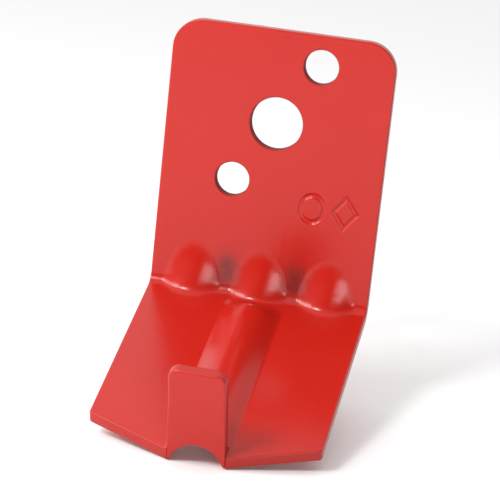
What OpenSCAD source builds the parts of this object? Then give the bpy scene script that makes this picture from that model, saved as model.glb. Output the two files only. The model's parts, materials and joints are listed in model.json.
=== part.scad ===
// Wall bracket for a portable fire extinguisher, pressed and bent from one piece of steel sheet.
// Origin: on the axis of the centre hole, on the plate's back face.
// X runs across the plate, +Y into the wall, +Z up. The shelf reaches out along -Y and slopes down.

/* [Sheet and plate] */
// Thickness of the steel sheet
sheet_t = 3.4; // [2.6:0.1:3.8]
// Width of the plate and of the shelf
plate_w = 63.5; // [54:0.5:75]
// Height of the plate above the line where its front face meets the shelf's top face
plate_h = 77; // [66:1:92]
// Radius of the plate's two top corners
corner_r = 8.5; // [4:0.5:14]

/* [Holes] */
// Diameter of the centre hole
centre_hole_d = 15; // [12:0.5:18]
// Distance of the centre hole's axis below the plate's top edge
centre_hole_drop = 26.5; // [25:0.5:30]
// Diameter of the two fixing holes
fixing_hole_d = 9.8; // [8:0.1:11]
// Diameter of the circle that the two fixing holes sit on, round the centre hole
fixing_pcd = 41.4; // [38:0.2:43]
// Angle of the line through the three holes, above the horizontal
fixing_angle = 58.2; // [50:0.1:62]

/* [Bend and gussets] */
// Slope of the shelf below the horizontal
shelf_slope = 20; // [12:1:28]
// Radius on the inner side of the bend
bend_r = 3.5; // [2.5:0.5:5]
// Height that each gusset reaches up the plate, from the inner corner
gusset_up = 9.5; // [8:0.5:12]
// Distance that each gusset reaches out along the shelf, from the inner corner
gusset_out = 4.5; // [4:0.5:8]
// Radius of a gusset's rounded back
gusset_r = 8.6; // [7:0.1:11]

/* [Shelf] */
// Length of the shelf's side edges, from the inner corner
shelf_side = 62.7; // [52:0.1:75]
// Angle by which each front edge runs forward towards the tongue
front_angle = 22.3; // [10:0.1:28]
// Width of the ridge along the middle, at the shelf's top face
ridge_w = 16; // [14:0.5:19]
// Height of the ridge above the shelf's top face
ridge_h = 3.75; // [3:0.25:5]

/* [Tongue] */
// Width of the tongue
tongue_w = 15.6; // [14:0.2:18]
// Height of the tongue, from the shelf's underside
tongue_h = 29.9; // [24:0.1:36]
// Radius of the tongue's two top corners
tongue_corner_r = 3; // [1:0.25:5]

/* [Stamped marks] */
// Height of the two marks
mark_h = 10.5; // [7:0.5:12]
// Width of the groove that draws them
mark_line = 1.2; // [0.8:0.1:1.6]
// Depth of that groove
mark_depth = 0.4; // [0.2:0.05:0.7]

/* [Hidden] */
$fn = 96;
eps = 0.5;                                  // how far a cutter runs past the face it cuts

corner_z = centre_hole_drop - plate_h;      // height of the inner corner line
bend_turn = 90 - shelf_slope;               // angle that the sheet turns through at the bend
bend_set = bend_r * tan(bend_turn / 2);     // inner corner line to the bend's tangent line
bend_y = -sheet_t - bend_r;                 // centre line of the bend
bend_z = corner_z + bend_set;

// The slope of the gussets' crest lines, and their distance from the inner corner.
gusset_tilt = atan2(gusset_up + gusset_out * sin(shelf_slope), gusset_out * cos(shelf_slope));
gusset_depth = gusset_up * cos(gusset_tilt);
gusset_pitch = plate_w * 0.31;
gusset_len = 4 * (gusset_up + gusset_out);

tip = shelf_side + (plate_w - tongue_w) / 2 * tan(front_angle);
ridge_r = (pow(ridge_w / 2, 2) + pow(ridge_h, 2)) / (2 * ridge_h);
ridge_axis = ridge_h - ridge_r;             // height of the ridge's axis above the shelf's top face
groove_r = ridge_r - sheet_t;
ramp_start = gusset_out * 0.5;              // where the ridge starts to rise, on the middle gusset
ramp_slope = 28;
mouth_flare = 1.0;                          // how much the groove opens out at the tongue's foot

mark_x = plate_w * 0.275;
mark_z = corner_z + plate_h * 0.36;
mark_w = plate_w * 0.125;

reach = 2 * (plate_h + tip);                // longer than the bracket in every direction

// Moves a shape drawn on the shelf into place: local z = 0 is the top face, and -y runs outwards.
module on_shelf() {
    translate([0, -sheet_t, corner_z]) rotate([shelf_slope, 0, 0]) children();
}

// Moves a shape drawn about a gusset's crest line into place: local y runs along the crest.
module on_gusset(x) {
    translate([x, -sheet_t, corner_z])
        rotate([gusset_tilt, 0, 0])
        translate([0, 0, gusset_depth])
        children();
}

// A cylinder along local y, with its top line at height 0.
module log_along_y(r, length) {
    translate([0, length / 2, -r]) rotate([90, 0, 0]) cylinder(r = r, h = length);
}

// Extrudes a side view, drawn as [y, z], across the width.
module across(width) {
    translate([-width / 2, 0, 0]) rotate([90, 0, 90]) linear_extrude(width) children();
}

// The space in front of and above the sheet, as a side view, reaching depth into the sheet.
module inside_of_sheet(depth) {
    out_y = bend_y + (bend_r + depth) * sin(shelf_slope);
    out_z = bend_z - (bend_r + depth) * cos(shelf_slope);
    polygon([
        [depth - sheet_t, bend_z],
        [depth - sheet_t, reach],
        [-reach, reach],
        [out_y - reach, out_z - reach * tan(shelf_slope)],
        [out_y, out_z]
    ]);
    translate([bend_y, bend_z]) circle(r = bend_r + depth);
}

// The flat plate with its rounded top corners.
module plate() {
    straight = centre_hole_drop - corner_r;
    rotate([90, 0, 0]) linear_extrude(sheet_t) {
        translate([-plate_w / 2, bend_z]) square([plate_w, straight - bend_z]);
        translate([corner_r - plate_w / 2, bend_z])
            square([plate_w - 2 * corner_r, centre_hole_drop - bend_z]);
        for (side = [-1, 1])
            translate([side * (plate_w / 2 - corner_r), straight]) circle(r = corner_r);
    }
}

// The bend between the plate and the shelf.
module bend() {
    across(plate_w) intersection() {
        difference() {
            inside_of_sheet(sheet_t);
            inside_of_sheet(0);
        }
        translate([bend_y, bend_z]) polygon([
            [0, 0],
            [reach, 0],
            [reach, -reach],
            [reach * sin(shelf_slope), -reach * cos(shelf_slope)]
        ]);
    }
}

// The shelf seen from above, with front edges that run forward to the tongue's foot.
module shelf_outline(start) {
    polygon([
        [-plate_w / 2, -start],
        [-plate_w / 2, -shelf_side],
        [-tongue_w / 2, -tip],
        [tongue_w / 2, -tip],
        [plate_w / 2, -shelf_side],
        [plate_w / 2, -start]
    ]);
}

// The sloping shelf.
module shelf() {
    on_shelf() translate([0, 0, -sheet_t]) linear_extrude(sheet_t) shelf_outline(bend_set);
}

// The upright tongue, square to the shelf, with rounded top corners.
module tongue() {
    top = tongue_h - sheet_t;
    on_shelf() translate([0, sheet_t - tip, 0]) rotate([90, 0, 0]) linear_extrude(sheet_t) {
        translate([-tongue_w / 2, -sheet_t]) square([tongue_w, tongue_h - tongue_corner_r]);
        translate([tongue_corner_r - tongue_w / 2, -sheet_t])
            square([tongue_w - 2 * tongue_corner_r, tongue_h]);
        for (side = [-1, 1])
            translate([side * (tongue_w / 2 - tongue_corner_r), top - tongue_corner_r])
            circle(r = tongue_corner_r);
    }
}

// The space under the ramp by which the ridge rises from the shelf, lowered by depth.
module under_ramp(depth) {
    on_shelf() translate([0, -ramp_start, 0])
        rotate([-ramp_slope, 0, 0])
        translate([-reach / 2, -reach, -reach - depth])
        cube(reach);
}

// Outer shape of the ridge along the middle of the shelf.
module ridge() {
    intersection() {
        on_shelf() translate([0, -tip / 2, ridge_h]) log_along_y(ridge_r, tip + eps);
        under_ramp(0);
        on_shelf() translate([0, 0, -sheet_t]) linear_extrude(reach) shelf_outline(0);
    }
}

// The groove under the ridge, opening out into an arch at the tongue's foot.
module ridge_groove() {
    intersection() {
        on_shelf() translate([0, 0, ridge_axis]) rotate([90, 0, 0]) cylinder(r = groove_r, h = tip + eps);
        under_ramp(sheet_t);
    }
    on_shelf() translate([0, sheet_t - tip, ridge_axis]) rotate([90, 0, 0])
        cylinder(r1 = groove_r, r2 = groove_r + mouth_flare, h = sheet_t + eps);
}

// Outer shape of one gusset, and the dimple behind it.
module gusset(x) {
    intersection() {
        on_gusset(x) log_along_y(gusset_r, gusset_len);
        across(2 * plate_w) inside_of_sheet(sheet_t);
    }
}

module gusset_dimple(x) {
    on_gusset(x) translate([0, 0, -sheet_t]) log_along_y(gusset_r - sheet_t, gusset_len);
}

// A hole straight through the plate.
module plate_hole(d, x, z) {
    translate([x, eps, z]) rotate([90, 0, 0]) cylinder(d = d, h = sheet_t + 2 * eps);
}

// Two plain stamped marks low on the plate: a ring and a diamond.
module stamped_marks() {
    translate([0, mark_depth - sheet_t, mark_z]) rotate([90, 0, 0]) linear_extrude(mark_depth + eps) {
        translate([mark_x - mark_w * 0.6, 0]) difference() {
            circle(d = mark_w);
            circle(d = mark_w - 2 * mark_line);
        }
        translate([mark_x + mark_w * 0.6, 0]) difference() {
            diamond(mark_w, mark_h);
            diamond(mark_w - 2.6 * mark_line, mark_h - 3.8 * mark_line);
        }
    }
}

module diamond(w, h) {
    polygon([[-w / 2, 0], [0, h / 2], [w / 2, 0], [0, -h / 2]]);
}

module bracket() {
    color([0.78, 0.05, 0.04]) difference() {
        union() {
            plate();
            bend();
            shelf();
            tongue();
            ridge();
            for (i = [-1:1]) gusset(i * gusset_pitch);
        }
        for (i = [-1:1]) gusset_dimple(i * gusset_pitch);
        ridge_groove();
        plate_hole(centre_hole_d, 0, 0);
        for (side = [-1, 1])
            plate_hole(
                fixing_hole_d,
                side * fixing_pcd / 2 * cos(fixing_angle),
                side * fixing_pcd / 2 * sin(fixing_angle)
            );
        stamped_marks();
    }
}

bracket();
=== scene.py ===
"""Wall bracket for a fire extinguisher: one pressed steel sheet with glossy red paint.

The sheet is one closed mesh. Its flat blank, with the outline, the slits beside the tongue and the three
holes, is meshed in two dimensions, and two functions then place its inner and its outer face in space.
"""
import json
import math

import bpy
import numpy as np
from mathutils import Matrix, Vector, geometry


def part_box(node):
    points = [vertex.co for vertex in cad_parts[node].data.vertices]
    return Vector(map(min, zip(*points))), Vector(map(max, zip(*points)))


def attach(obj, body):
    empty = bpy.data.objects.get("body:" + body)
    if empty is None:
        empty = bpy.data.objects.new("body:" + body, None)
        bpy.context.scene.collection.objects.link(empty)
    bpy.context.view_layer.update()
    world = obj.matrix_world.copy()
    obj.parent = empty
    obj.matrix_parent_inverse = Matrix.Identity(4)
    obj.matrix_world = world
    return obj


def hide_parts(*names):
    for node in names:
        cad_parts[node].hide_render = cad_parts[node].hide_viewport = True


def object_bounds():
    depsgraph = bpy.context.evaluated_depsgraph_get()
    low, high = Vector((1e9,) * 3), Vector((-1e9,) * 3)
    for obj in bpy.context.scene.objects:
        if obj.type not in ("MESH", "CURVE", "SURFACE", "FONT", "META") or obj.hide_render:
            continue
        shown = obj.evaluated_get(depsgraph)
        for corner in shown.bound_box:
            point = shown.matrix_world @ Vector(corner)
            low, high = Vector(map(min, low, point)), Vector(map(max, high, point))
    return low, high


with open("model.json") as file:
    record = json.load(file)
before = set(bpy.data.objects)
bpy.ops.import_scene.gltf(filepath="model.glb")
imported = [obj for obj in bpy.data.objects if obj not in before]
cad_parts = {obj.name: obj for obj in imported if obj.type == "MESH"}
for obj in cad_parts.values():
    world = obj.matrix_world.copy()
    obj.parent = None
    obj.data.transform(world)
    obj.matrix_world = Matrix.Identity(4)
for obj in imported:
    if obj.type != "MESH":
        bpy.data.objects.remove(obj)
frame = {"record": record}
cad_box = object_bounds()
mounts = {m["name"]: m for m in frame["record"]["mounts"]}

# ---------------------------------------------------------------- sizes, in millimetres
MM = 0.001
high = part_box("bracket")[1] / MM

SHEET = mounts["centre_hole"]["dims"]["length_mm"]
HALF_W = high.x                         # half of the plate's width
TOP = high.z                            # the plate's top edge
PLATE_H = 77.0                          # top edge to the inner corner line
CORNER_R = 8.5                          # the plate's top corners
SLOPE = math.radians(20)                # the shelf, below the horizontal
TURN = math.pi / 2 - SLOPE
BEND_R = 3.5                            # inner side of the bend
SHELF_SIDE = 62.7                       # the shelf's side edges, from the inner corner
SHELF_CORNER_R = 1.3                    # where they meet the front edges
FRONT_ANGLE = math.radians(22.3)        # the front edges, running forward to the tongue

GUSSET_UP = 9.3                         # reach of each gusset up the plate
GUSSET_OUT = 4.0                        # and out along the shelf
GUSSET_R = 9.2                          # its rounded back
GUSSET_CROWN = 0.4                      # bulge along the gusset's back
GUSSET_CROWN_MIDDLE = 0.6               # the share of it that stands above the log at the middle
GUSSET_FALL = 3.0                       # slope of the drop past the log's sides
GUSSET_PITCH = 0.31 * 2 * HALF_W
GUSSET_FILLET = 3.0

RIDGE_H = 3.75
RIDGE_R = 9.4
RIDGE_FILLET = 2.6
RIDGE_FADE = (2.0, 11.0)                # where the ridge rises out of the middle gusset, along the shelf
GROOVE_FILLET = 1.0                     # groove to the shelf's underside, near the tip
GROOVE_FLARE = 2.6 * SHEET              # length over which the groove opens towards the tip
GROOVE_BLEND = (16.0, 10.0)             # where the underside takes up the groove's own shape, before the tip

TONGUE_HALF = 7.8
TONGUE_TOP = 26.5                       # above the shelf's top face
TONGUE_CORNER_R = 3.0
TONGUE_INNER_R = 1.2                    # ridge to the tongue's back
MOUTH_R = 1.5                           # arch to the tongue's front
MOUTH_ARCH_R = 7.3                      # the arch under the tongue's foot
MOUTH_ARCH_H = 2.2
MOUTH_TURN = (0.4, 0.8)                 # share of the foot's length where its front face turns upright
SLIT = 0.04                             # half-width of the slit beside the tongue's foot
SLIT_R = 0.12                           # rounding of the slit's edges
SLIT_END_R = 0.98 * SLIT                # corners at the slit's closed end
SLIT_MOUTH_R = 1.2 * SLIT_R             # corners where the slit meets the front edge

EDGE_R = 0.45                           # rounding of the sheared and painted edges
HOLE_EDGE_R = 0.8 * EDGE_R
TONGUE_EXTRA_R = 0.4                    # more rounding on the tongue's upper edges
TONGUE_EXTRA_FADE = (6.0, 14.0)         # where that comes in, up the tongue
OPEN_OFF_SLIT = (0.1, 1.2)              # where the rounding comes in, away from the slit
OPEN_PAST_FOOT = (0.0, 1.5)             # and up the tongue, past its foot

MARK_X = 0.275 * 2 * HALF_W             # the middle between the stamped ring and diamond
MARK_W = 0.125 * 2 * HALF_W             # width of each of them
MARK_OFFSET = 0.6 * MARK_W              # each one's middle from MARK_X
MARK_H = 10.5
MARK_LINE = 1.25                        # width of the groove that draws them
MARK_DEPTH = 0.38
MARK_FADE = (0.15, 0.62)                # where the groove's side slopes, as shares of its width
RING_STRETCH = 1.15                     # how much lower the ring is than MARK_H
GEM_INSET = 0.09                        # the diamond's groove inside its outline, as a share of its size
GEM_SLANT = 0.79                        # turns that measure into a distance across the groove

SHADE_WIDTH = 3.2                        # painted shade between the gussets, as a darker colour
SHADE_HEIGHT = 4.8
SHADE_UP = 6.0                           # above the inner corner line
RIM_SHADE_AND_WEAR_OUTER = 0.4                         # how far the outer edge is painted darker: painted shade, with thinner paint
RIM_SHADE_AND_WEAR_HOLES = 2.0                         # and round the holes, where the painted shade in the hole walls is strongest

# The inner corner line, the bend's centre line, and the blank's stations down from the top edge.
CORNER_Z = TOP - PLATE_H
MARK_Z = CORNER_Z + 0.36 * PLATE_H
BEND_SET = BEND_R * math.tan(TURN / 2)
BEND_Y = -SHEET - BEND_R
BEND_Z = CORNER_Z + BEND_SET
V_BEND = TOP - BEND_Z
V_SHELF = V_BEND + BEND_R * TURN
TIP = SHELF_SIDE + (HALF_W - TONGUE_HALF) * math.tan(FRONT_ANGLE)
S_FOOT = TIP - SHEET - TONGUE_INNER_R   # where the strip starts to turn up into the tongue
FOOT_LEN = 4.0                          # length of that turn on the blank
V_FOOT = V_SHELF + S_FOOT - BEND_SET
TONGUE_LEN = TONGUE_TOP - TONGUE_INNER_R - RIDGE_H / 2
V_END = V_FOOT + FOOT_LEN + TONGUE_LEN

ALONG = np.array([0.0, -math.cos(SLOPE), -math.sin(SLOPE)])     # out along the shelf
UP = np.array([0.0, -math.sin(SLOPE), math.cos(SLOPE)])         # square to the shelf
INNER_CORNER = np.array([0.0, -SHEET, CORNER_Z])

# ---------------------------------------------------------------- fineness of the mesh, in millimetres
NORMAL_STEP = 0.03                      # for a face's normals by differences
EDGE_STEP = 0.02                        # for the edge's direction and the marks' slopes
LINE_SPACING = 0.5                      # points along the straight stretches of the outline
ARC_SPACING = 0.35                      # round its corners
HOLE_SPACING = 0.45
FINE, MEDIUM, COARSE = 0.5, 1.4, 1.6    # points inside the blank
MARK_SPACING = 0.3
MARK_AREA = (1.3 * MARK_W, 6.2)         # half the width and height of the area with that spacing
TONGUE_SPACING = (0.8, 1.2)             # across it, and up it
RIDGE_SPACING = (FINE, 1.2)             # across it, and along it
FOOT_SPACING = (FINE, 0.16)
SHAPED_MARGIN = 12.0                    # how far the fine points go past the bend
MOUTH_MARGIN = 7.0                      # and how far they start before the tongue's foot
FRONT_MARGIN = 8.0                      # how far the grid beside the ridge runs past it, to cover the front
EDGE_CLEARANCE = 0.22                   # inner points keep this far from the edges
SLIT_CLEARANCE = 0.3                    # and this far from the slits, to either side
SLIT_END_CLEARANCE = 0.4                # and from their closed end
EDGE_ANGLES = np.radians([0.0, 22.5, 45.0, 67.5, 90.0])

# The sides of the sheet that a point can belong to, and the rings of points over a rounded edge.
INNER, OUTER, BETWEEN = 0, 1, 2
EDGE_RINGS = (
    [(angle, INNER) for angle in EDGE_ANGLES[::-1]]
    + [(0.0, BETWEEN)]
    + [(angle, OUTER) for angle in EDGE_ANGLES]
)


def smooth_max(a, b, radius):
    """The larger of two heights, with a fillet where they cross."""
    mix = np.clip(0.5 + (a - b) / (2 * radius), 0, 1)
    return b + (a - b) * mix + radius * mix * (1 - mix)


def smooth_step(x, start, end):
    """Rises softly from 0 at start to 1 at end."""
    t = np.clip((x - start) / (end - start), 0, 1)
    return t * t * (3 - 2 * t)


def unit(vectors):
    """Vectors, one a row, made one long."""
    return vectors / np.linalg.norm(vectors, axis=1)[:, None]


# ---------------------------------------------------------------- the sheet's two faces
def on_shelf(x, s, h):
    """A point of the shelf's own frame: s out from the inner corner, h above the top face."""
    return INNER_CORNER + np.outer(s, ALONG) + np.outer(h, UP) + np.outer(x, (1, 0, 0))


def ridge_height(x, s):
    """Height of the ridge above the shelf's top face."""
    arc = np.sqrt(np.maximum(RIDGE_R ** 2 - x ** 2, 0)) - (RIDGE_R - RIDGE_H)
    arc = np.where(np.abs(x) < RIDGE_R, arc, -RIDGE_R)
    return smooth_max(arc, np.zeros_like(x), RIDGE_FILLET) * smooth_step(s, *RIDGE_FADE)


def groove_height(x, s):
    """The shelf's underside near the tip, above the top face: flat, with the groove flaring at its mouth."""
    flare = smooth_step(s, TIP - GROOVE_FLARE, TIP)
    radius = RIDGE_R - SHEET + flare * (MOUTH_ARCH_R - RIDGE_R + SHEET)
    crest = RIDGE_H - SHEET + flare * (MOUTH_ARCH_H - RIDGE_H + SHEET)
    arc = np.sqrt(np.maximum(radius ** 2 - x ** 2, 0)) - radius + crest
    return smooth_max(arc, np.full_like(x, -SHEET), GROOVE_FILLET)


def press_gussets(x, points):
    """Pushes the bend inwards into the three gussets, each a rounded log across the corner."""
    tilt = math.atan2(GUSSET_UP + GUSSET_OUT * math.sin(SLOPE), GUSSET_OUT * math.cos(SLOPE))
    inward = np.array([0.0, -math.sin(tilt), math.cos(tilt)])
    climb = np.array([0.0, math.cos(tilt), math.sin(tilt)])
    ends = GUSSET_UP * math.sin(tilt), GUSSET_OUT * (ALONG @ climb)
    from_middle = (points - INNER_CORNER) @ climb - sum(ends) / 2
    part = np.abs(2 * from_middle / (ends[0] - ends[1]))
    crown = GUSSET_CROWN * (GUSSET_CROWN_MIDDLE - np.minimum(part, 2) ** 2)
    crest = (points - INNER_CORNER) @ inward - GUSSET_UP * math.cos(tilt)
    for centre in (-GUSSET_PITCH, 0.0, GUSSET_PITCH):
        off = np.abs(x - centre)
        log = np.sqrt(np.maximum(GUSSET_R ** 2 - off ** 2, 0)) - GUSSET_R
        log = crown + np.where(off < GUSSET_R, log, -GUSSET_R - GUSSET_FALL * (off - GUSSET_R))
        lifted = smooth_max(log, crest, GUSSET_FILLET)
        points = points + np.outer(lifted - crest, inward)
        crest = lifted
    return points


def on_tongue(x, v):
    """Which points of the blank belong to the strip that turns up into the tongue."""
    return ((v > V_FOOT) & (np.abs(x) < TONGUE_HALF + SLIT))[:, None]


def up_tongue(v):
    """How far up the straight part of the tongue a point lies, from 0 to 1."""
    return np.maximum((v - V_FOOT - FOOT_LEN) / TONGUE_LEN, 0)


def inner_face(x, v):
    """The plate's front, the shelf's top and the tongue's back, for points of the blank."""
    plate = np.stack([x, np.full_like(x, -SHEET), TOP - v], 1)
    turned = np.clip((v - V_BEND) / BEND_R, 0, TURN)
    bend = np.stack([x, BEND_Y + BEND_R * np.cos(turned), BEND_Z - BEND_R * np.sin(turned)], 1)
    s = v - V_SHELF + BEND_SET
    base = ridge_height(x, s)
    shelf = on_shelf(x, s, base)
    points = np.where((v < V_BEND)[:, None], plate, np.where((v < V_SHELF)[:, None], bend, shelf))
    points = press_gussets(x, points)

    angle = np.clip((v - V_FOOT) / FOOT_LEN, 0, 1) * math.pi / 2
    out = S_FOOT + TONGUE_INNER_R * np.sin(angle)
    turn_h = base + TONGUE_INNER_R * (1 - np.cos(angle))
    height = turn_h + up_tongue(v) * (TONGUE_TOP - base - TONGUE_INNER_R)
    return np.where(on_tongue(x, v), on_shelf(x, out, height), points)


def normals_of(face, x, v):
    """Unit normals of a face, by differences, on the face's inner side."""
    across = face(x + NORMAL_STEP, v) - face(x - NORMAL_STEP, v)
    down = face(x, v + NORMAL_STEP) - face(x, v - NORMAL_STEP)
    return unit(np.cross(down, across))


def outer_face(x, v):
    """The plate's back, the shelf's underside and the tongue's front."""
    s = v - V_SHELF + BEND_SET
    points = inner_face(x, v) - SHEET * normals_of(inner_face, x, v)
    level = on_shelf(x, s, groove_height(x, s))
    mix = smooth_step(s, TIP - GROOVE_BLEND[0], TIP - GROOVE_BLEND[1])[:, None]
    points = points * (1 - mix) + level * mix

    # The strip's outer side runs ahead under the foot, turns up round the mouth and levels with the back.
    part = np.clip((v - V_FOOT) / FOOT_LEN, 0, 1)
    turn_from, turn_to = MOUTH_TURN
    ahead = np.clip(part / turn_from, 0, 1)
    angle = np.clip((part - turn_from) / (turn_to - turn_from), 0, 1) * math.pi / 2
    rest = np.clip((part - turn_to) / (1 - turn_to), 0, 1)
    mouth = EDGE_R + (MOUTH_R - EDGE_R) * np.clip(1 - (x / TONGUE_HALF) ** 2, 0, 1)
    out = S_FOOT + ahead * (TIP - mouth - S_FOOT)
    ceiling = groove_height(x, out)
    out = out + mouth * np.sin(angle)
    foot_top = ridge_height(x, s) + TONGUE_INNER_R
    turn_h = ceiling + mouth * (1 - np.cos(angle))
    turn_h = turn_h + rest * (foot_top - turn_h)
    height = turn_h + up_tongue(v) * (TONGUE_TOP - turn_h)
    return np.where(on_tongue(x, v), on_shelf(x, out, height), points)


def middle_face(x, v):
    return (inner_face(x, v) + outer_face(x, v)) / 2


# ---------------------------------------------------------------- the blank, in two dimensions
def rounded_path(corners):
    """A closed path through corners (x, v, radius), with arcs and evenly spaced points."""
    path = []
    count = len(corners)
    for i, (x, v, radius) in enumerate(corners):
        here = Vector((x, v))
        back = Vector(corners[i - 1][:2]) - here
        ahead = Vector(corners[(i + 1) % count][:2]) - here
        half = back.angle(ahead) / 2
        cut = radius / math.tan(half)
        start, end = here + back.normalized() * cut, here + ahead.normalized() * cut
        centre = here + (back.normalized() + ahead.normalized()).normalized() * (radius / math.sin(half))
        sweep = (start - centre).angle_signed(end - centre)
        steps = max(4, math.ceil(abs(sweep) * radius / ARC_SPACING))
        if path:
            path += line_points(path[-1], start)
        for k in range(steps + 1):
            turn = Matrix.Rotation(-sweep * k / steps, 2)
            path.append(centre + turn @ (start - centre))
    path += line_points(path[-1], path[0])
    path = np.array(path)
    apart = np.linalg.norm(path - np.roll(path, 1, 0), axis=1)
    return path[apart > 0.2 * SLIT]


def line_points(start, end):
    """The points between two ends of a straight stretch."""
    steps = max(1, round((end - start).length / LINE_SPACING))
    return [start.lerp(end, k / steps) for k in range(1, steps)]


def inward_normals(path):
    """Unit normals of a closed path, towards the material, which lies on the left of the path."""
    tangent = unit(np.roll(path, -1, 0) - np.roll(path, 1, 0))
    return np.stack([-tangent[:, 1], tangent[:, 0]], 1)


def blank_outline():
    """The outer edge of the blank: plate, shelf, and the tongue between its two slits."""
    side_v = V_SHELF + SHELF_SIDE - BEND_SET
    slit_x = TONGUE_HALF + 2 * SLIT
    slit_v = V_SHELF + TIP - BEND_SET - 2 * SLIT * math.tan(FRONT_ANGLE)
    right = [
        (HALF_W, 0.0, CORNER_R),
        (HALF_W, side_v, SHELF_CORNER_R),
        (slit_x, slit_v, SLIT_MOUTH_R),
        (slit_x, V_FOOT, SLIT_END_R),
        (TONGUE_HALF, V_FOOT, SLIT_END_R),
        (TONGUE_HALF, V_END, TONGUE_CORNER_R),
    ]
    left = [(-x, v, radius) for x, v, radius in reversed(right)]
    return rounded_path(right + left)


def outline_rounding(path):
    """The rounding along the outer edge: nearly sharp in the slits, and fullest up the tongue."""
    off_slit = np.abs(np.abs(path[:, 0]) - TONGUE_HALF - SLIT) - 2 * SLIT
    past_foot = np.where(np.abs(path[:, 0]) > TONGUE_HALF + SLIT, 0, path[:, 1] - V_FOOT - FOOT_LEN)
    open_edge = np.maximum(smooth_step(off_slit, *OPEN_OFF_SLIT), smooth_step(past_foot, *OPEN_PAST_FOOT))
    extra = TONGUE_EXTRA_R * smooth_step(past_foot, *TONGUE_EXTRA_FADE)
    return SLIT_R + (EDGE_R - SLIT_R) * open_edge + extra


def hole_outline(x, z, radius):
    """A hole's edge, turning the other way, so that the material is on the left here too."""
    steps = max(64, round(2 * math.pi * radius / HOLE_SPACING))
    angle = -np.arange(steps) * 2 * math.pi / steps
    return np.stack([x + radius * np.cos(angle), TOP - z + radius * np.sin(angle)], 1)


def holes():
    """The three holes of the plate, as (x, z, radius), from the record's mounts."""
    for name in ("centre_hole", "upper_fixing_hole", "lower_fixing_hole"):
        place = mounts[name]["pos_m"]
        yield place[0] / MM, place[2] / MM, mounts[name]["dims"]["r_mm"]


def grid(x0, x1, dx, v0, v1, dv):
    """Evenly spaced points of one rectangle of the blank, its last row left out."""
    xs = np.linspace(x0, x1, max(2, round((x1 - x0) / dx)) + 1)
    vs = np.linspace(v0, v1, max(2, round((v1 - v0) / dv)) + 1)[:-1]
    return np.array(np.meshgrid(xs, vs)).reshape(2, -1).T


def plate_points(v_end):
    """Points of the plate down to v_end: coarse, and close together round the stamped marks."""
    half_w, half_h = MARK_AREA
    x0, x1 = MARK_X - half_w, MARK_X + half_w
    v0, v1 = TOP - MARK_Z - half_h, TOP - MARK_Z + half_h
    points = grid(-HALF_W, HALF_W, COARSE, 0, v_end, COARSE)
    near = ((points[:, 0] > x0 - MARK_SPACING) & (points[:, 0] < x1 + MARK_SPACING)
            & (points[:, 1] > v0 - MARK_SPACING) & (points[:, 1] < v1 + MARK_SPACING))
    return [points[~near], grid(x0, x1, MARK_SPACING, v0, v1, MARK_SPACING)]


def interior_points():
    """The blank's inner points, closer together where the sheet is shaped."""
    v_gusset, v_clear = V_BEND - SHAPED_MARGIN, V_SHELF + SHAPED_MARGIN
    v_mouth = V_FOOT - MOUTH_MARGIN
    v_tongue = V_FOOT + FOOT_LEN
    v_front = V_FOOT + FRONT_MARGIN
    beside = RIDGE_R + 1
    zones = plate_points(v_gusset) + [
        grid(-HALF_W, HALF_W, FINE, v_gusset, v_clear, FINE),
        grid(-HALF_W, -beside, COARSE, v_clear, v_mouth, COARSE),
        grid(beside, HALF_W, COARSE, v_clear, v_mouth, COARSE),
        grid(-RIDGE_R, RIDGE_R, RIDGE_SPACING[0], v_clear, v_mouth, RIDGE_SPACING[1]),
        grid(-HALF_W, -beside, MEDIUM, v_mouth, v_front, MEDIUM),
        grid(beside, HALF_W, MEDIUM, v_mouth, v_front, MEDIUM),
        grid(-RIDGE_R, RIDGE_R, FINE, v_mouth, V_FOOT, FINE),
        grid(-RIDGE_R, RIDGE_R, FOOT_SPACING[0], V_FOOT, v_tongue, FOOT_SPACING[1]),
        grid(-RIDGE_R, RIDGE_R, TONGUE_SPACING[0], v_tongue, V_END, TONGUE_SPACING[1]),
    ]
    return np.concatenate(zones)


def distance_inside(points, paths):
    """How far each point lies inside the blank; negative outside it."""
    inside = np.zeros(len(points), bool)
    nearest = np.full(len(points), np.inf)
    for path in paths:
        for a, b in zip(path, np.roll(path, -1, 0)):
            crosses = (a[1] > points[:, 1]) != (b[1] > points[:, 1])
            if crosses.any():
                at = a[0] + (points[:, 1] - a[1]) * (b[0] - a[0]) / (b[1] - a[1] + 1e-12)
                inside ^= crosses & (points[:, 0] < at)
            edge = b - a
            t = np.clip(((points - a) @ edge) / (edge @ edge + 1e-12), 0, 1)
            gap = np.linalg.norm(points - a - t[:, None] * edge, axis=1)
            nearest = np.minimum(nearest, gap)
    return np.where(inside, nearest, -nearest)


def points_between(borders):
    """The inner points that keep clear of the blank's borders and of the slits."""
    points = interior_points()
    points = points[distance_inside(points, borders) > EDGE_CLEARANCE]
    by_slit = np.abs(np.abs(points[:, 0]) - TONGUE_HALF) < SLIT_CLEARANCE
    return points[~(by_slit & (points[:, 1] > V_FOOT - SLIT_END_CLEARANCE))]


def triangulate(borders, inside):
    """Triangles over the blank, numbering the points of the borders first and the inside ones after."""
    edges, first = [], 0
    for border in borders:
        count = len(border)
        edges += [(first + k, first + (k + 1) % count) for k in range(count)]
        first += count
    points = [Vector(p) for p in np.concatenate([*borders, inside])]
    placed, _, triangles, origins, *_ = geometry.delaunay_2d_cdt(points, edges, [], 0, 1e-7)
    placed = np.array([tuple(p) for p in placed])
    middle = np.array([placed[list(t)].mean(0) for t in triangles])
    kept = distance_inside(middle, borders) > 1e-3
    return [[origins[corner][0] for corner in t] for t, keep in zip(triangles, kept) if keep]


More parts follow.
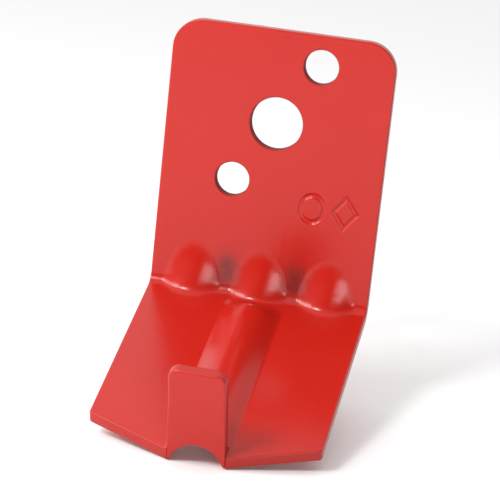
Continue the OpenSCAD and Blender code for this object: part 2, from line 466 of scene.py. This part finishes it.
def press_marks(x, v):
    """Depth of the stamped ring and diamond at points of the blank."""
    down = TOP - MARK_Z - v
    ring_x = x - (MARK_X - MARK_OFFSET)
    ring = np.abs(np.hypot(ring_x, down * MARK_W / MARK_H * RING_STRETCH) - (MARK_W - MARK_LINE) / 2)
    gem_x = x - (MARK_X + MARK_OFFSET)
    gem = np.abs(np.abs(gem_x) / MARK_W + np.abs(down) / MARK_H - 0.5 + GEM_INSET) * GEM_SLANT * MARK_W
    near = np.minimum(ring, gem)
    return MARK_DEPTH * (1 - smooth_step(near, MARK_FADE[0] * MARK_LINE, MARK_FADE[1] * MARK_LINE))


def painted_shade_between_gussets(x, v):
    """How much painted shade darkens the plate between the gussets, just above the bend."""
    across = (np.abs(x) - GUSSET_PITCH / 2) / SHADE_WIDTH
    down = (v - PLATE_H + SHADE_UP) / SHADE_HEIGHT
    return np.exp(-across ** 2 - down ** 2)


# ---------------------------------------------------------------- the mesh
def sheet_points(flat, side, away=0.0, angle=math.pi / 2, sunk=0.0, rim_shade_and_wear=0.0):
    """Points of the mesh, by where they lie on the blank and how they lean over a rounded edge.

    away is the direction out of the material, angle runs from 0 on the edge to a right angle on a face,
    sunk is the depth below the face, and rim says how far the edge is painted darker, as painted shade with
    thinner paint.
    """
    count = len(flat)
    return {
        "flat": flat,
        "side": np.full(count, side),
        "away": np.broadcast_to(away, (count, 2)),
        "angle": np.full(count, angle),
        "sunk": np.broadcast_to(sunk, count),
        "rim_shade_and_wear": np.full(count, rim_shade_and_wear),
    }


def edge_points(path, rounding, rim_shade_and_wear):
    """The rings of points that wrap one edge of the blank, from its inner face to its outer face."""
    inward = inward_normals(path)
    rings = []
    for angle, side in EDGE_RINGS:
        inset = rounding * (1 - math.cos(angle))
        sunk = rounding * (1 - math.sin(angle))
        flat = path + inward * inset[:, None]
        rings.append(sheet_points(flat, side, -inward, angle, sunk, rim_shade_and_wear * math.cos(angle)))
    return rings


def place_in_space(p):
    """Each point's place and normal, in millimetres, with the marks pressed into the inner face."""
    x, v = p["flat"].T.copy()
    side, angle = p["side"], p["angle"][:, None]
    inner, outer = inner_face(x, v), outer_face(x, v)
    inner_n, outer_n = normals_of(inner_face, x, v), -normals_of(outer_face, x, v)
    through = outer - inner
    depth = p["sunk"] / np.linalg.norm(through, axis=1)
    share = np.choose(side, [depth, 1 - depth, 0.5])
    place = inner + through * share[:, None]

    along_x, along_v = -p["away"][:, 1] * EDGE_STEP, p["away"][:, 0] * EDGE_STEP
    tangent = middle_face(x + along_x, v + along_v) - middle_face(x - along_x, v - along_v)
    outward = np.cross(tangent, through)
    length = np.linalg.norm(outward, axis=1)[:, None]
    outward = np.where(length > 1e-9, outward / np.maximum(length, 1e-9), 0)
    face_n = np.where((side == OUTER)[:, None], outer_n, inner_n)
    normal = unit(outward * np.cos(angle) + face_n * np.sin(angle))

    marked = (side == INNER)[:, None]
    slope_x = (press_marks(x + EDGE_STEP, v) - press_marks(x - EDGE_STEP, v)) / (2 * EDGE_STEP)
    slope_v = (press_marks(x, v + EDGE_STEP) - press_marks(x, v - EDGE_STEP)) / (2 * EDGE_STEP)
    place = place - inner_n * press_marks(x, v)[:, None] * marked
    normal = unit(normal + np.stack([slope_x, np.zeros_like(x), -slope_v], 1) * marked)
    return place, normal


def sheet_faces(loops, inside_count, triangles):
    """The edge's quads, and each triangle of the blank on the inner and on the outer face."""
    faces = []
    for rings in loops:
        for upper, lower in zip(rings[:-1], rings[1:]):
            strip = np.stack([upper, np.roll(upper, -1), np.roll(lower, -1), lower], 1)
            faces += strip.tolist()

    total = loops[-1][-1][-1] + 1
    inside = total + np.arange(inside_count)
    inner = np.concatenate([*(rings[0] for rings in loops), inside])
    outer = np.concatenate([*(rings[-1] for rings in loops), inside + inside_count])
    for triangle in triangles:
        faces.append(inner[triangle[::-1]].tolist())
        faces.append(outer[triangle].tolist())
    return faces


def build_bracket():
    """The whole sheet as one closed mesh."""
    outline = blank_outline()
    edges = [edge_points(outline, outline_rounding(outline), RIM_SHADE_AND_WEAR_OUTER)]
    for hole in holes():
        path = hole_outline(*hole)
        edges.append(edge_points(path, np.full(len(path), HOLE_EDGE_R), RIM_SHADE_AND_WEAR_HOLES))

    # One triangulation of the blank serves both faces.
    borders = [rings[0]["flat"] for rings in edges]
    inside = points_between(borders)
    triangles = triangulate(borders, inside)

    groups = [ring for rings in edges for ring in rings]
    groups += [sheet_points(inside, INNER), sheet_points(inside, OUTER)]
    p = {key: np.concatenate([group[key] for group in groups]) for key in groups[0]}
    place, normal = place_in_space(p)

    loops, first = [], 0
    for rings in edges:
        count = len(rings[0]["flat"])
        loops.append([first + k * count + np.arange(count) for k in range(len(rings))])
        first += count * len(rings)

    mesh = bpy.data.meshes.new("bracket_sheet")
    mesh.from_pydata((place * MM).tolist(), [], sheet_faces(loops, len(inside), triangles))
    mesh.validate()
    mesh.polygons.foreach_set("use_smooth", [True] * len(mesh.polygons))
    mesh.normals_split_custom_set_from_vertices(normal.tolist())
    # painted shade: the plate between the gussets gets a darker colour where the ribs shade it
    gusset_shade = painted_shade_between_gussets(*p["flat"].T) * (p["side"] == INNER)
    for name, values in (("rim_shade_and_wear", p["rim_shade_and_wear"]), ("gusset_shade", gusset_shade)):
        layer = mesh.attributes.new(name, "FLOAT", "POINT")
        layer.data.foreach_set("value", values.astype(np.float32))
    piece = bpy.data.objects.new("bracket_sheet", mesh)
    bpy.context.scene.collection.objects.link(piece)
    return piece


# ---------------------------------------------------------------- materials
PAINT_TONES = ((0.40, 0.009, 0.004, 1), (0.46, 0.012, 0.006, 1))
# darker, greyer colour of the edges and hole walls: painted shade, with thinner paint
THIN_PAINT_AND_SHADE = (0.17, 0.028, 0.025, 1)
# the dark colour of the painted shade between the gussets
PAINTED_SHADE = (0.075, 0.018, 0.017, 1)
PAINT_IOR = 1.43
FLOOR_COLOUR = (0.92, 0.92, 0.92, 1)


def node_tree(name):
    """A new material, its nodes and links, and its shader."""
    material = bpy.data.materials.new(name)
    material.use_nodes = True
    nodes, links = material.node_tree.nodes, material.node_tree.links
    return material, nodes, links, nodes["Principled BSDF"]


def set_inputs(node, **values):
    """Sets unlinked inputs by name, with underscores for the spaces."""
    for name, value in values.items():
        node.inputs[name.replace("_", " ")].default_value = value
    return node


def noise(nodes, links, place, scale, detail=2):
    """Noise over the piece's own coordinates, as its grey output."""
    node = set_inputs(nodes.new("ShaderNodeTexNoise"), Scale=scale, Detail=detail)
    links.new(place, node.inputs["Vector"])
    return node.outputs["Fac"]


def mapped(nodes, links, value, **limits):
    """A value carried from one range to another."""
    node = set_inputs(nodes.new("ShaderNodeMapRange"), **limits)
    links.new(value, node.inputs["Value"])
    return node.outputs["Result"]


def painted_over(nodes, links, under, factor, colour):
    """A plain colour laid over another, as far as the factor says."""
    node = nodes.new("ShaderNodeMix")
    node.data_type = "RGBA"
    node.inputs["B"].default_value = colour
    links.new(factor, node.inputs["Factor"])
    links.new(under, node.inputs["A"])
    return node.outputs["Result"]


def attribute(nodes, name):
    """A value stored on the mesh's points."""
    node = nodes.new("ShaderNodeAttribute")
    node.attribute_name = name
    return node.outputs["Fac"]


def calculated(nodes, links, operation, first, second, third=None):
    """A math node on values that are outputs of other nodes or plain numbers."""
    node = nodes.new("ShaderNodeMath")
    node.operation = operation
    for socket, value in zip(node.inputs, (first, second, third)):
        if isinstance(value, float):
            socket.default_value = value
        elif value is not None:
            links.new(value, socket)
    return node.outputs["Value"]


def red_paint():
    """Glossy red enamel: slight tone changes, painted shade between the gussets, orange peel, and thinner,
    duller paint on the edges, painted darker there as shade, most in the hole walls.
    """
    material, nodes, links, shader = node_tree("red_paint")
    place = nodes.new("ShaderNodeTexCoord").outputs["Object"]

    clouds = noise(nodes, links, place, 28, 3)
    tones = nodes.new("ShaderNodeValToRGB")
    for element, colour in zip(tones.color_ramp.elements, PAINT_TONES):
        element.color = colour
    links.new(clouds, tones.inputs["Fac"])

    # painted shade on the edges, most in the hole walls, together with thinner, duller paint
    thin_and_shaded = mapped(nodes, links, attribute(nodes, "rim_shade_and_wear"), From_Max=2, To_Max=0.9)
    worn_and_shaded = painted_over(nodes, links, tones.outputs["Color"], thin_and_shaded, THIN_PAINT_AND_SHADE)

    # painted shade between the gussets, darkened in uneven patches
    blotches = noise(nodes, links, place, 260)
    patchy = mapped(nodes, links, blotches, From_Min=0.2, From_Max=0.6, To_Min=0.55)
    shade_amount = calculated(nodes, links, "MULTIPLY", patchy, attribute(nodes, "gusset_shade"))
    shaded = painted_over(nodes, links, worn_and_shaded, shade_amount, PAINTED_SHADE)
    links.new(shaded, shader.inputs["Base Color"])

    bump = set_inputs(nodes.new("ShaderNodeBump"), Strength=0.10, Distance=0.0004)
    links.new(noise(nodes, links, place, 420), bump.inputs["Height"])
    links.new(bump.outputs["Normal"], shader.inputs["Normal"])

    dull = mapped(nodes, links, clouds, To_Min=0.15, To_Max=0.27)
    duller = calculated(nodes, links, "MULTIPLY_ADD", thin_and_shaded, 0.5, dull)
    links.new(duller, shader.inputs["Roughness"])
    sheen = mapped(nodes, links, thin_and_shaded, To_Min=0.5, To_Max=0.05)
    links.new(sheen, shader.inputs["Specular IOR Level"])
    shader.inputs["IOR"].default_value = PAINT_IOR
    return material


def pale_floor():
    material, _, _, shader = node_tree("pale_floor")
    shader.inputs["Base Color"].default_value = FLOOR_COLOUR
    shader.inputs["Roughness"].default_value = 0.6
    return material


# ---------------------------------------------------------------- the piece
bracket = build_bracket()
bracket.data.materials.append(red_paint())
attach(bracket, "root")
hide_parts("bracket")


# ---------------------------------------------------------------- floor, light and camera, in metres
FLOOR_REACH = 6.0
FLOOR_GAP = 0.0002                      # the floor lies this far under the bracket

# Each light's name, place, target, width and height, and watts.
LIGHTS = (
    ("key", (-0.36, -0.62, 0.54), (0, 0.02, -0.03), (0.20, 0.20), 4.8),
    ("left", (-0.40, -0.26, 0.24), (0, -0.02, -0.03), (0.20, 0.20), 1.3),
    ("right", (0.29, -0.56, 0.02), (0, -0.02, -0.03), (0.26, 0.14), 0.8),
)
TENT_BRIGHTEST = (-0.40, 0.50, 0.77)    # the direction in which the world is brightest

CAMERA_PLACE = (0.10568, -0.61717, 0.13277)
CAMERA_RIGHT = (0.9739, 0.2020, 0.1031)
CAMERA_BACK = (0.1691, -0.9498, 0.2633)
CAMERA_LENS = 163.4
CAMERA_SENSOR = 36


def add_floor():
    mesh = bpy.data.meshes.new("floor")
    z = cad_box[0].z - FLOOR_GAP
    corners = [(x * FLOOR_REACH, y * FLOOR_REACH, z) for x, y in ((-1, -1), (1, -1), (1, 1), (-1, 1))]
    mesh.from_pydata(corners, [], [(0, 1, 2, 3)])
    floor = bpy.data.objects.new("floor", mesh)
    bpy.context.scene.collection.objects.link(floor)
    mesh.materials.append(pale_floor())


def add_light(name, place, target, size, power):
    data = bpy.data.lights.new(name, "AREA")
    data.shape = "RECTANGLE"
    data.size, data.size_y = size
    data.energy = power
    light = bpy.data.objects.new(name, data)
    light.location = place
    light.rotation_mode = "QUATERNION"
    light.rotation_quaternion = (Vector(target) - Vector(place)).to_track_quat("-Z", "Y")
    bpy.context.scene.collection.objects.link(light)


def add_world():
    """A pale tent, brightest above and behind the bracket."""
    world = bpy.data.worlds.new("studio")
    world.use_nodes = True
    nodes, links = world.node_tree.nodes, world.node_tree.links
    place = nodes.new("ShaderNodeTexCoord")
    towards = nodes.new("ShaderNodeVectorMath")
    towards.operation = "DOT_PRODUCT"
    towards.inputs[1].default_value = TENT_BRIGHTEST
    links.new(place.outputs["Generated"], towards.inputs[0])
    glow = mapped(nodes, links, towards.outputs["Value"], From_Min=-0.3, To_Min=0.05, To_Max=1.35)
    background = nodes["Background"]
    links.new(glow, background.inputs["Strength"])
    background.inputs["Color"].default_value = (1, 1, 1, 1)
    bpy.context.scene.world = world


def add_camera():
    data = bpy.data.cameras.new("camera")
    data.sensor_width = CAMERA_SENSOR
    data.lens = CAMERA_LENS
    data.clip_start, data.clip_end = 0.01, 50
    camera = bpy.data.objects.new("camera", data)
    right, back = Vector(CAMERA_RIGHT), Vector(CAMERA_BACK).normalized()
    right = (right - back * right.dot(back)).normalized()
    turn = Matrix((right, back.cross(right), back)).transposed().to_4x4()
    camera.matrix_world = Matrix.Translation(CAMERA_PLACE) @ turn
    bpy.context.scene.collection.objects.link(camera)
    bpy.context.scene.camera = camera


add_floor()
add_world()
for light in LIGHTS:
    add_light(*light)
add_camera()
bpy.context.scene.view_settings.view_transform = "Standard"
